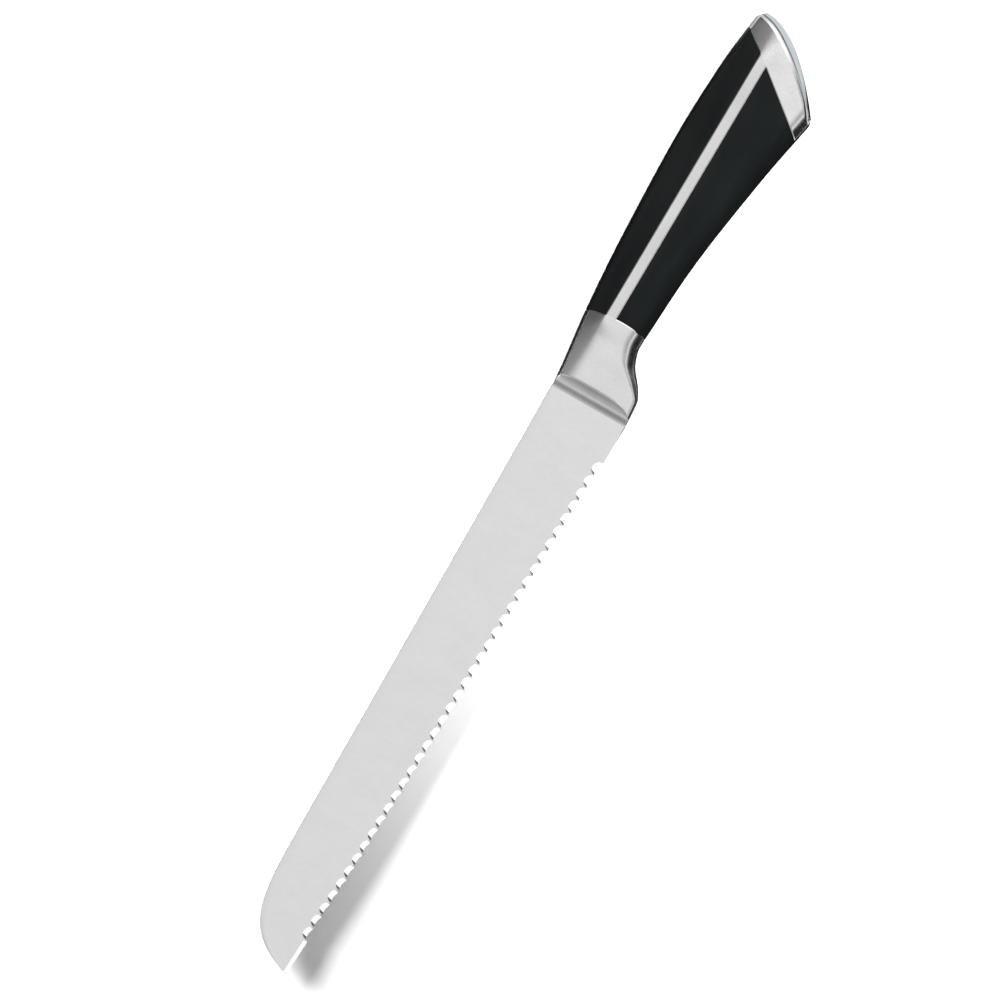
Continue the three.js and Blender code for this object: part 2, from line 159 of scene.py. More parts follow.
# Mesh clean-up
SHARP_ANGLE = math.radians(38)
JOIN_DISTANCE = 0.002
LEAST_EDGE = 0.001

# The belly's rounding: a wide arc from the side's lean, and a tight one into the flat underside
ROLL_START = math.atan(SIDE_LEAN)
ROLL_TURN = math.radians(44)
TIGHT_ARC = 0.3
ROLL_RISE = math.sin(ROLL_TURN) - math.sin(ROLL_START)
WIDE_ARC = (1 - TIGHT_ARC * (1 - math.sin(ROLL_TURN))) / ROLL_RISE


# ---------- curves ----------

HALVINGS = 40


def along(stations, x):
    """A value that runs smoothly through (x, value) stations, by cubic Hermite steps."""
    last = len(stations) - 2
    i = 0
    while i < last and x > stations[i + 1][0]:
        i += 1

    def rise(k):
        return (stations[k + 1][1] - stations[k][1]) / (stations[k + 1][0] - stations[k][0])

    def bend(k):
        if k == 0:
            return rise(0)
        if k == last + 1:
            return rise(last)
        before, after = rise(k - 1), rise(k)
        return 2 * before * after / (before + after) if before * after > 0 else 0

    width = stations[i + 1][0] - stations[i][0]
    t = (x - stations[i][0]) / width
    a, b = stations[i][1], stations[i + 1][1]
    u, v = bend(i) * width, bend(i + 1) * width
    return a + t * (u + t * (3 * (b - a) - 2 * u - v + t * (2 * (a - b) + u + v)))


def bezier(points, t):
    """A point on a Bezier curve in x and y, by de Casteljau's steps."""
    while len(points) > 1:
        points = [
            (a[0] + (b[0] - a[0]) * t, a[1] + (b[1] - a[1]) * t)
            for a, b in zip(points, points[1:])
        ]
    return points[0]


def bezier_share(points, axis, value):
    """How far along a curve that runs one way on an axis a value is met."""
    low, high = 0.0, 1.0
    rising = points[-1][axis] > points[0][axis]
    for _ in range(HALVINGS):
        middle = (low + high) / 2
        if (bezier(points, middle)[axis] < value) == rising:
            low = middle
        else:
            high = middle
    return (low + high) / 2


def soft_min(a, b, softness):
    """The smaller of two values, with the corner between them rounded."""
    return (a + b) / 2 - math.hypot((a - b) / 2, softness)


def mix(a, b, share):
    return a + (b - a) * share


def eased(count):
    """Shares from 0 to 1, close together at both ends."""
    return [(1 - math.cos(math.pi * k / count)) / 2 for k in range(count + 1)]


def edge_steps(radius, count=4):
    """Distances from an edge at which a rounded edge has its rows."""
    return [radius * (1 - math.cos(math.pi / 2 * k / count)) for k in range(count + 1)]


# ---------- handle section ----------
# A line runs along the whole handle at one place of its section, and is (zone, share). The zones
# go from the spine's middle to the belly's: crown, facet, above, band, low_side, wide, tight and
# under. In above and band the share is a distance from the ridge, in millimetres.

def half_width(x, y):
    """The handle's half width above the belly's rounding."""
    top, ridge = along(SPINE_LINE, x), along(RIDGE_LINE, x)
    wide, narrow = along(RIDGE_WIDTH, x), along(SPINE_WIDTH, x)
    crown = narrow * math.sqrt(max(top - y, 0) / SPINE_CROWN)
    drop = along(RIDGE_DROP, x)
    facet = wide + (narrow - wide) * (y - ridge + drop) / (top - SPINE_CROWN - ridge + drop)
    side = wide - SIDE_LEAN * (ridge - y)
    return soft_min(soft_min(crown, facet, SPINE_EDGE_SOFTNESS), side, along(RIDGE_SOFTNESS, x))


def section_point(x, line):
    """The height and half width of a line at x."""
    zone, share = line
    top, ridge, bottom = along(SPINE_LINE, x), along(RIDGE_LINE, x), along(BELLY_LINE, x)
    roll = along(ROLL_HEIGHT, x)
    if zone == "crown":
        y = top - SPINE_CROWN * share ** 2
        return y, half_width(x, y) if share > 0 else 0.0
    if zone == "facet":
        y = mix(top - SPINE_CROWN, ridge, share)
        return y, half_width(x, y)
    if zone == "above":
        return ridge + share, half_width(x, ridge + share)
    if zone == "band":
        return ridge - share, half_width(x, ridge - share)
    if zone == "low_side":
        y = mix(ridge - STRIP_HEIGHT - SEAM - COVER_ROUND, bottom + roll, share)
        return y, half_width(x, y)
    y, z = bottom + roll, half_width(x, bottom + roll)
    if zone == "wide":
        turn = mix(ROLL_START, ROLL_TURN, share)
        radius = WIDE_ARC * roll
        return (y - radius * (math.sin(turn) - math.sin(ROLL_START)),
                z - radius * (math.cos(ROLL_START) - math.cos(turn)))
    y, z = section_point(x, ("wide", 1.0))
    radius = TIGHT_ARC * roll
    turn = mix(ROLL_TURN, math.pi / 2, share if zone == "tight" else 1.0)
    y -= radius * (math.sin(turn) - math.sin(ROLL_TURN))
    z -= radius * (math.cos(ROLL_TURN) - math.cos(turn))
    if zone == "under":
        return y - BELLY_CROWN * (1 - (1 - share) ** 2), z * (1 - share)
    return y, z


def lines(zone, count, first=0):
    return [(zone, k / count) for k in range(first, count + 1)]


CROWN_LINES = lines("crown", 7)
ROLL_LINES = lines("wide", 12, 1) + lines("tight", 6, 1) + lines("under", 4, 1)
CHAMFER_STEPS = [0.0, CHAMFER / 2, CHAMFER, CHAMFER + CHAMFER_CREASE]
FACET_LINES = [("facet", k / 14) for k in range(1, 13)] + [("above", 0.25), ("above", CREASE)]
BAND_STEPS = [0.0, CREASE, 0.4, 0.9, 1.6, 2.4, 3.1, STRIP_HEIGHT - CREASE, STRIP_HEIGHT]
BAND_LINES = [("band", d) for d in BAND_STEPS + [STRIP_HEIGHT + CREASE]]
WHOLE_LINES = CROWN_LINES + FACET_LINES + BAND_LINES + lines("low_side", 18) + ROLL_LINES


def beside_cover(line):
    """1 where a line of the bolster or cap ends at a cover, and 0 where it runs on into a strip."""
    zone, share = line
    return 0.0 if zone == "band" and share <= STRIP_HEIGHT else 1.0


def slope_reach(y):
    """How far back the bolster's hollow front reaches at a height."""
    share = min(1, abs(y - SLOPE_MIDDLE) / SLOPE_HALF)
    power = SLOPE_TOP_SQUARENESS if y > SLOPE_MIDDLE else SLOPE_FOOT_SQUARENESS
    return SLOPE_REACH * (1 - share ** power) ** (1 / power) + SLOPE_LEAST


def slope_limit(x, y):
    """How far out the bolster's hollow front lets the side stand, up to the wall at its edge."""
    ahead = max(0.0, x - HANDLE_START)
    hollow = (ahead / (SLOPE_REACH + SLOPE_LEAST)) ** SLOPE_POWER
    wall = max(0.0, ahead - slope_reach(y)) * SLOPE_WALL
    return SLOPE_FOOT + (along(RIDGE_WIDTH, x) - SLOPE_FOOT) * hollow + wall


# ---------- boundaries in side view, as x from y ----------

MEETING_START = 260.0
MEETING_ROUNDS = 25


def bolster_front(y):
    return HANDLE_START


def bolster_edge(y):
    return HANDLE_START + slope_reach(y)


def joint_arc(y):
    x, middle = JOINT_ARC_CENTRE
    return x + math.sqrt(JOINT_ARC_RADIUS ** 2 - (y - middle) ** 2)


def cap_front(y):
    (x0, y0), (x1, y1) = CAP_FRONT
    return x0 + (x1 - x0) * (y - y0) / (y1 - y0)


def rim(y):
    return bezier(RIM, bezier_share(RIM, 1, y))[0]


def meeting(line, boundary, shift=0.0):
    """The x at which a line meets a boundary, from a start anywhere on the handle."""
    x = MEETING_START
    for _ in range(MEETING_ROUNDS):
        x = boundary(section_point(x, line)[0]) + shift
    return x


# ---------- meshes ----------

def normals_of(grid, wraps):
    """Outward unit normals of a grid of points, [line][row][xyz]."""
    if wraps:
        across = np.roll(grid, -1, 0) - np.roll(grid, 1, 0)
    else:
        across = np.gradient(grid, axis=0)
    forward = np.gradient(grid, axis=1)
    normal = np.cross(across, forward)
    return normal / np.maximum(np.linalg.norm(normal, axis=2, keepdims=True), 1e-9)


def rounding(radius, *distances):
    """How deep a rounded edge lies at some distances from the edges beside it."""
    used = sum(max(0.0, radius - d) ** 2 for d in distances)
    return radius - math.sqrt(max(0.0, radius ** 2 - used))


def chamfered(*distances):
    """How deep a steel edge's flat chamfer lies at some distances from the edges beside it."""
    return CHAMFER_SLOPE * max(0.0, CHAMFER - min(distances))


def mirrored(half):
    """A half section's grid and its mirror image, as a ring that starts at the spine."""
    other = half[-2:0:-1].copy()
    other[:, :, 2] *= -1
    return np.concatenate([half, other])


def mirrored_values(half):
    """The same ring for one number a point."""
    return np.concatenate([half, half[-2:0:-1]])


def grid_faces(lines_count, rows, start, wraps, flip=False):
    """Quads between neighbouring lines and rows of a grid whose points begin at start."""
    faces = []
    for j in range(lines_count if wraps else lines_count - 1):
        a, b = start + j * rows, start + (j + 1) % lines_count * rows
        for i in range(rows - 1):
            face = (a + i, a + i + 1, b + i + 1, b + i)
            faces.append(face[::-1] if flip else face)
    return faces


def ladder(count, rows, row, start, flip=False):
    """Faces that close a ring across z, from each left point to its mirror image."""
    faces = []
    for j in range(count // 2):
        ids = [j, j + 1, (count - j - 1) % count, (count - j) % count]
        face = tuple(dict.fromkeys(start + k * rows + row for k in ids))
        faces.append(face[::-1] if flip else face)
    return faces


def make_piece(name, points, faces, materials, face_material=None):
    """A smooth mesh piece from points in millimetres."""
    mesh = bpy.data.meshes.new(name)
    mesh.from_pydata([ORIGIN + Vector(p) * MM for p in points], [], faces)
    for material in materials:
        mesh.materials.append(material)
    if face_material is not None:
        mesh.polygons.foreach_set("material_index", face_material)
    mesh.validate()
    mesh.shade_smooth()
    piece = bpy.data.objects.new(name, mesh)
    bpy.context.scene.collection.objects.link(piece)
    return piece


def clean(piece):
    """Joins doubled points, turns the faces outwards and marks the sharp edges."""
    work = bmesh.new()
    work.from_mesh(piece.data)
    bmesh.ops.remove_doubles(work, verts=work.verts, dist=JOIN_DISTANCE * MM)
    bmesh.ops.dissolve_degenerate(work, edges=work.edges, dist=LEAST_EDGE * MM)
    bmesh.ops.recalc_face_normals(work, faces=work.faces)
    work.to_mesh(piece.data)
    work.free()
    piece.data.set_sharp_from_angle(angle=SHARP_ANGLE)


def finish_piece(piece, node):
    """Cleans a piece, and has it stand for its CAD node."""
    clean(piece)
    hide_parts(node)
    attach(piece, "root")


# ---------- handle pieces ----------

def traced(section, stretches, steps=(), ends=()):
    """A half section's grid. Each stretch is (front, back, shares), and worked ends add rows.

    Returns the points, and each row's distance from the front and back edges."""
    grid, distances = [], []
    for line in section:
        places = []
        for front, back, shares in stretches:
            a, b = meeting(line, *front), meeting(line, *back)
            places += [mix(a, b, s) for s in shares if not (places and s == 0)]
        first, last = places[0], places[-1]
        before = steps[-1] if steps else 0.0
        after = ends[-1] if ends else 0.0
        squeeze = (last - first - before - after) / (last - first)
        inner = [first + before + (x - first) * squeeze for x in places[1:-1]]
        places = ([first + d for d in steps] or [first]) + inner
        places += [last - d for d in reversed(ends)] or [last]
        grid.append([(x, *section_point(x, line)) for x in places])
        distances.append([(x - first, last - x) for x in places])
    return np.array(grid), np.array(distances)


def pushed_in(grid, wraps, depths):
    """The grid with each point moved inwards by its own depth."""
    return grid - normals_of(grid, wraps) * depths[:, :, None]


def bolster():
    """A collar with a hollow front that runs down to the blade, closed at both ends."""
    slope_rows = [1 - (1 - k / SLOPE_ROWS) ** SLOPE_CROWDING for k in range(SLOPE_ROWS + 1)]
    body_rows = [(k / BOLSTER_ROWS) ** BOLSTER_CROWDING for k in range(BOLSTER_ROWS + 1)]
    slope = ((bolster_front,), (bolster_edge,), slope_rows)
    body = ((bolster_edge,), (joint_arc,), body_rows)
    half, distances = traced(WHOLE_LINES, [slope, body], ends=CHAMFER_STEPS)
    for points in half:
        for point in points:
            if point[2] > 0:
                point[2] = soft_min(point[2], slope_limit(point[0], point[1]), SLOPE_SOFTNESS)
                point[2] = max(point[2], LEAST_HALF_WIDTH)
    ring = mirrored(half)
    depth = np.array([
        [chamfered(d[1]) * beside_cover(line) for d in row]
        for row, line in zip(distances, WHOLE_LINES)
    ])
    ring = pushed_in(ring, True, mirrored_values(depth))
    count, rows = ring.shape[:2]
    faces = grid_faces(count, rows, 0, True)
    faces += ladder(count, rows, 0, 0) + ladder(count, rows, rows - 1, 0, True)
    # faces of the hollow front get a darker steel: painted shade on the slope
    painted_shade_on_slope = [1 if f % (rows - 1) < SLOPE_ROWS else 0 for f in range(count * (rows - 1))]
    painted_shade_on_slope += [0] * (len(faces) - len(painted_shade_on_slope))
    materials = [MATERIALS["bolster"], MATERIALS["slope"]]
    piece = make_piece("cast_bolster", ring.reshape(-1, 3), faces, materials, painted_shade_on_slope)
    finish_piece(piece, "bolster")


def shell(name, patch, depth, material):
    """A cover or strip: the worked outer skin, the plain inner one and the walls between."""
    outer = pushed_in(patch, False, depth)
    inner = patch - normals_of(patch, False) * WALL
    count, rows = patch.shape[:2]
    total = count * rows
    faces = grid_faces(count, rows, 0, False) + grid_faces(count, rows, total, False, True)
    border = [j * rows for j in range(count)]
    border += [(count - 1) * rows + i for i in range(1, rows)]
    border += [j * rows + rows - 1 for j in range(count - 2, -1, -1)]
    border += list(range(rows - 2, 0, -1))
    for a, b in zip(border, border[1:] + border[:1]):
        faces.append((a, b, b + total, a + total))
    points = np.concatenate([outer.reshape(-1, 3), inner.reshape(-1, 3)])
    return make_piece(name, points, faces, [material])


def both_sides(half, spine):
    """A cover's patch from one side's edge over the spine or belly to the other's."""
    other = half.copy()
    other[:, :, 2] *= -1
    if spine:  # half runs from the spine's middle to the left edge
        return np.concatenate([other[::-1], half[1:]])
    return np.concatenate([half, other[-2::-1]])


def even_rows(count):
    return [k / count for k in range(count + 1)]


def cover(name, section, edge_distances, spine, node):
    """A black moulding. Each line of its section has a distance from the edge beside the strip."""
    stretch = ((joint_arc, SEAM), (cap_front, -SEAM), even_rows(COVER_ROWS))
    ends = edge_steps(COVER_ROUND)
    half, distances = traced(section, [stretch], ends, ends)
    depth = np.array([
        [rounding(COVER_ROUND, min(d[0], d[1]), edge) for d in row]
        for row, edge in zip(distances, edge_distances)
    ])
    patch = both_sides(half, spine)
    depths = np.concatenate([depth[::-1], depth[1:]] if spine else [depth, depth[-2::-1]])
    piece = shell(name, patch, depths, MATERIALS["cover"])
    finish_piece(piece, node)


FAR = 1.0  # any distance beyond the cover's rounded edge


def spine_cover():
    steps = edge_steps(COVER_ROUND)[::-1]
    facet = [("facet", k / COVER_FACET_STEPS) for k in range(1, COVER_FACET_STEPS)]
    edge = [("above", SEAM + d) for d in steps]
    section = CROWN_LINES + facet + edge
    edges = [FAR] * len(CROWN_LINES + facet) + steps
    cover("spine_cover_moulding", section, edges, True, "spine_cover")


def belly_cover():
    steps = edge_steps(COVER_ROUND)
    edge = [("band", STRIP_HEIGHT + SEAM + d) for d in steps]
    side = lines("low_side", COVER_SIDE_STEPS, 1)
    section = edge + side + ROLL_LINES
    edges = steps + [FAR] * len(side + ROLL_LINES)
    cover("belly_cover_moulding", section, edges, False, "belly_cover")


def strip(name, sign, node):
    """The band between the covers. Its ends meet the bolster and the cap without a seam."""
    low, high = CHAMFER_STEPS[-1], STRIP_HEIGHT - CHAMFER_STEPS[-1]
    middle = [mix(low, high, k / STRIP_STEPS) for k in range(1, STRIP_STEPS)]
    places = CHAMFER_STEPS + middle + [STRIP_HEIGHT - d for d in reversed(CHAMFER_STEPS)]
    stretch = ((joint_arc,), (cap_front,), even_rows(STRIP_ROWS))
    patch, _ = traced([("band", d) for d in places], [stretch])
    rows = patch.shape[1]
    depth = np.array([[chamfered(d, STRIP_HEIGHT - d)] * rows for d in places])
    if sign < 0:
        patch[:, :, 2] *= -1
        patch, depth = patch[::-1], depth[::-1]
    piece = shell(name, patch, depth, MATERIALS["strip"])
    finish_piece(piece, node)


def rim_depth(distance):
    """How far the cap's rear edge has turned in at a distance from the rim."""
    along_arc = RIM_ROUND * math.sin(RIM_TURN) - distance
    if along_arc <= 0:
        return 0.0
    return RIM_ROUND - math.sqrt(RIM_ROUND ** 2 - along_arc ** 2)


def cap_skin():
    """The cap's outer surface: half its section, and how deep each point lies under it."""
    tail = [RIM_ROUND * math.sin(RIM_TURN) * (1 - k / RIM_ROWS) for k in range(RIM_ROWS + 1)]
    body = ((cap_front,), (rim, -tail[0]), even_rows(CAP_ROWS))
    half, _ = traced(WHOLE_LINES, [body], steps=CHAMFER_STEPS)
    turned = []
    for line in WHOLE_LINES:
        end = meeting(line, rim)
        turned.append([(end - d, *section_point(end - d, line)) for d in tail[1:]])
    half = np.concatenate([half, np.array(turned)], axis=1)
    depth = np.zeros(half.shape[:2])
    for line, points, depths in zip(WHOLE_LINES, half, depth):
        for i, x in enumerate(points[:, 0]):
            front = chamfered(x - points[0, 0]) * beside_cover(line)
            depths[i] = max(front, rim_depth(points[-1, 0] - x))
    return half, depth


def end_cap():
    """A cup: the outer skin, a web in front, and a recess behind that the butt plate covers.

    Returns the rear edge, which the butt plate sits on."""
    half, depth = cap_skin()
    ring = mirrored(half)
    outer = pushed_in(ring, True, mirrored_values(depth))
    inner = ring - normals_of(ring, True) * WALL
    inner[:, 0, 0] += CAP_WEB
    inner = mix(inner[:, :1], inner[:, -1:], np.linspace(0, 1, RECESS_ROWS)[None, :, None])
    count, rows = ring.shape[:2]
    start = count * rows
    faces = grid_faces(count, rows, 0, True) + ladder(count, rows, 0, 0)
    faces += grid_faces(count, RECESS_ROWS, start, True, True)
    faces += ladder(count, RECESS_ROWS, 0, start, True)
    outer_end = [(j + 1) * rows - 1 for j in range(count)]
    inner_end = [start + (j + 1) * RECESS_ROWS - 1 for j in range(count)]
    for j in range(count):
        k = (j + 1) % count
        faces.append((outer_end[j], inner_end[j], inner_end[k], outer_end[k]))
    points = np.concatenate([outer.reshape(-1, 3), inner.reshape(-1, 3)])
    piece = make_piece("slanted_end_cap", points, faces, [MATERIALS["cap"]])
    finish_piece(piece, "end_cap")
    return outer[:, -1]


def seated(point, shift, inset):
    """A point of the rim moved back along x, and in towards the section's middle."""
    x, y, z = point
    towards = (RIM[0][1] + RIM[2][1]) / 2 - y
    share = inset / max(math.hypot(towards, z), inset)
    return x + shift, y + towards * share, z * (1 - share)


def butt_plate(base):
    """A dome from the cap's rear edge to the crown line in the middle plane."""
    count = len(base)
    heights = [section_point(meeting(line, rim), line)[0] for line in WHOLE_LINES]
    shares = [bezier_share(RIM, 1, y) for y in heights]
    shares += shares[-2:0:-1]
    turns = [mix(DOME_START, math.pi / 2, k / DOME_STEPS) for k in range(DOME_STEPS + 1)]
    levels = [((math.sin(t) - math.sin(DOME_START)) / (1 - math.sin(DOME_START)),
               math.cos(t) / math.cos(DOME_START)) for t in turns]
    lip = [(-SEAT_LAP, RIM_LIP), (RIM_SEAM - LIP_TOP, RIM_LIP), (RIM_SEAM - LIP_EDGE, RIM_LIP / 3)]
    rings = [[seated(p, shift, inset) for p in base] for shift, inset in lip]
    for out, narrow in levels:
        ring = []
        for (x, y, z), share in zip(base, shares):
            cx, cy = bezier(CROWN, share)
            ring.append((mix(x + RIM_SEAM, cx, out), mix(y, cy, out), z * narrow))
        rings.append(ring)
    grid = np.array(rings).transpose(1, 0, 2)
    faces = grid_faces(count, len(rings), 0, True) + ladder(count, len(rings), 0, 0)
    # the first ring of faces, in the seam's groove, gets the near-black material
    in_seam = [0 if f % (len(rings) - 1) else 1 for f in range(count * (len(rings) - 1))]
    in_seam += [1] * (len(faces) - len(in_seam))
    materials = [MATERIALS["butt"], MATERIALS["seam"]]
    piece = make_piece("domed_butt_plate", grid.reshape(-1, 3), faces, materials, in_seam)
    finish_piece(piece, "butt_plate")


# ---------- blade ----------

def spine_height(x):
    return 0.0 if x >= TIP_ROUND else bezier(TIP_CURVE, bezier_share(TIP_CURVE, 0, x))[1]


# A column across the blade: its edge, the top of the ground surface, how far that top leans
# towards the heel, and whether it lies on a scallop's flank, whose ground face gets painted shade.
Column = namedtuple("Column", "x edge ground lean flank")


def blade_columns():
    """The blade's columns from the tip to the heel."""
    columns = []
    for k in range(1, TIP_COLUMNS + 1):
        x = PLAIN_TIP * (k / TIP_COLUMNS) ** 2
        y = along(EDGE_LINE, x)
        columns.append(Column(x, y, y + TIP_BEVEL, 0.0, False))
    columns[-1] = columns[-1]._replace(x=PLAIN_TIP - TIP_STEP)
    pitch = (BLADE_LENGTH - PLAIN_TIP - PLAIN_HEEL) / SCALLOPS
    for n in range(SCALLOPS):
        for s in eased(SCALLOP_COLUMNS)[:-1]:
            x = PLAIN_TIP + pitch * (n + s)
            y = along(EDGE_LINE, x)
            arc = math.sqrt(1 - (2 * s ** GRIND_PEAK - 1) ** 2)
            ground = POINT_GRIND + (GRIND_DEPTH - POINT_GRIND) * arc
            columns.append(Column(x, y + GULLET_DEPTH * arc, y + ground, GRIND_SKEW, s < PAINTED_SHADE_SHARE))
    for k in range(HEEL_COLUMNS + 1):
        x = mix(BLADE_LENGTH - PLAIN_HEEL, BLADE_LENGTH, k / HEEL_COLUMNS)
        bevel = mix(POINT_GRIND, HEEL_BEVEL, min(1, k / HEEL_FADE))
        lean = GRIND_SKEW * max(0, 1 - k / HEEL_FADE)
        columns.append(Column(x, -BLADE_HEIGHT, -BLADE_HEIGHT + bevel, lean, False))
    return columns


def blade_ring(column):
    """A column's ring of points: up the left face from the edge, and down the right."""
    x, edge, ground, lean, _ = column
    half = BLADE_THICK / 2
    top = spine_height(x)
    room = max(top - edge, LEAST_HEIGHT)
    ground = min(ground, edge + GROUND_MOST * room)
    curl = min(SPINE_ROUND, CURL_MOST * room)
    ring = [(x, edge, -half)]
    for k in range(GROUND_ROWS + 1):
        share = k / GROUND_ROWS
        z = mix(EDGE_THICK - half, half, share)
        ring.append((x + lean * share, mix(edge, ground, share), z))
    for k in range(1, FACE_ROWS + 1):
        share = k / FACE_ROWS
        ring.append((x + lean * (1 - share), mix(ground, top - curl, share), half))
    left = [(x, top - curl * (1 - math.sin(a)), half - SPINE_ROUND * (1 - math.cos(a)))
            for a in SPINE_TURNS]
    ring += left + [(x, y, -z) for x, y, z in reversed(left)]
    for k in range(FACE_ROWS):
        ring.append((x, mix(top - curl, edge, k / FACE_ROWS), -half))
    return ring


def tang(start):
    """The tang's points and faces, as a bar that begins inside the blade."""
    points = []
    for x in (BLADE_LENGTH - TANG_LAP, TANG_END):
        for y, z in ((0, 1), (1, 1), (1, -1), (0, -1)):
            points.append((x, TANG_HEIGHT[y], z * TANG_THICK / 2))
    front, back = range(start, start + 4), range(start + 4, start + 8)
    faces = []
    for k in range(4):
        j = (k + 1) % 4
        faces.append((front[k], front[j], back[j], back[k]))
    return points, faces + [tuple(reversed(front)), tuple(back)]


def blade():
    """The blade and its hidden tang, with the scallops ground on the left face."""
    columns = blade_columns()
    grid = np.array([blade_ring(column) for column in columns]).transpose(1, 0, 2)
    count, rows = grid.shape[:2]
    faces = grid_faces(count, rows, 0, True)
    ground_faces = range(rows - 1, (rows - 1) * (GROUND_ROWS + 1))
    which = [0] * len(faces)
    for f in ground_faces:
        # ground faces on a scallop's tip-side flank get the painted-shade steel
        which[f] = 2 if columns[f % (rows - 1)].flank else 1
    for row in (0, rows - 1):
        faces.append(tuple(j * rows + row for j in range(count)))
    points = [tuple(p) for p in grid.reshape(-1, 3)]
    tang_points, tang_faces = tang(len(points))
    points += tang_points
    faces += tang_faces
    which += [0] * (len(faces) - len(which))
    materials = [MATERIALS["blade"], MATERIALS["ground"], MATERIALS["flank"]]
    piece = make_piece("scalloped_blade", points, faces, materials, which)
    finish_piece(piece, "blade")


# ---------- materials ----------

NOISE_LOW, NOISE_HIGH = 0.25, 0.75  # nearly all of a noise's values lie between these


class Nodes:
    """A material's node tree, with short calls for the nodes that these materials share."""

    def __init__(self, name):
        self.material = bpy.data.materials.new(name)
        self.material.use_nodes = True
        self.tree = self.material.node_tree
        self.shader = self.tree.nodes["Principled BSDF"]

    def add(self, kind, **settings):
        node = self.tree.nodes.new(kind)
        for key, value in settings.items():
            setattr(node, key, value)
        return node

    def link(self, a, b):
        self.tree.links.new(a, b)

    def noise(self, cell, detail=3.0, roughness=0.55):
        """Noise whose cells have these sizes, in millimetres along x, y and z."""
        place = self.add("ShaderNodeTexCoord")
        mapping = self.add("ShaderNodeMapping")
        mapping.inputs["Scale"].default_value = [1 / (size * MM) for size in cell]
        noise = self.add("ShaderNodeTexNoise")
        noise.inputs["Scale"].default_value = 1.0
        noise.inputs["Detail"].default_value = detail
        noise.inputs["Roughness"].default_value = roughness
        self.link(place.outputs["Object"], mapping.inputs["Vector"])
        self.link(mapping.outputs["Vector"], noise.inputs["Vector"])
        return noise.outputs["Fac"]

    def ranged(self, value, low, high):
        """Noise spread over a range."""
        span = self.add("ShaderNodeMapRange")
        span.inputs["From Min"].default_value = NOISE_LOW
        span.inputs["From Max"].default_value = NOISE_HIGH
        span.inputs["To Min"].default_value = low
        span.inputs["To Max"].default_value = high
        self.link(value, span.inputs["Value"])
        return span.outputs["Result"]

    def tones(self, value, dark, light):
        """Noise as a colour between two tones."""
        ramp = self.add("ShaderNodeValToRGB")
        ramp.color_ramp.elements[0].position = NOISE_LOW
        ramp.color_ramp.elements[1].position = NOISE_HIGH
        ramp.color_ramp.elements[0].color = (*dark, 1)
        ramp.color_ramp.elements[1].color = (*light, 1)
        self.link(value, ramp.inputs["Fac"])
        return ramp.outputs["Color"]

    def bump(self, height, depth):
        """Relief of this depth in millimetres."""
        node = self.add("ShaderNodeBump")
        node.inputs["Strength"].default_value = 1.0
        node.inputs["Distance"].default_value = depth * MM
        self.link(height, node.inputs["Height"])
        self.link(node.outputs["Normal"], self.shader.inputs["Normal"])


def steel(name, dark, light, rough, grain, relief, patch=18.0):
    """Steel with a fine grain, broader tone changes, and a roughness that follows both.

    The grain's cells and relief, and the size of the broader patches, are in millimetres."""
    nodes = Nodes(name)
    nodes.shader.inputs["Metallic"].default_value = 1.0
    fine = nodes.noise(grain, 4.0, 0.6)
    broad = nodes.noise((patch, patch * 1.6, patch), 2.0)
    both = nodes.add("ShaderNodeMix", data_type="FLOAT")
    both.inputs["Factor"].default_value = 0.5
    nodes.link(fine, both.inputs["A"])
    nodes.link(broad, both.inputs["B"])
    nodes.link(nodes.tones(both.outputs["Result"], dark, light), nodes.shader.inputs["Base Color"])
    nodes.link(nodes.ranged(both.outputs["Result"], *rough), nodes.shader.inputs["Roughness"])
    nodes.bump(fine, relief)
    return nodes.material


def moulded(name, dark, light, rough, grain, relief, specular):
    """Moulded plastic with a fine spark-eroded grain and faint flow marks."""
    nodes = Nodes(name)
    nodes.shader.inputs["Specular IOR Level"].default_value = specular
    fine = nodes.noise((grain, grain, grain), 3.0)
    flow = nodes.noise((30.0, 6.0, 6.0), 2.0)
    nodes.link(nodes.tones(flow, dark, light), nodes.shader.inputs["Base Color"])
    nodes.link(nodes.ranged(fine, *rough), nodes.shader.inputs["Roughness"])
    nodes.bump(fine, relief)
    return nodes.material


def grey(value):
    return (value, value, value)


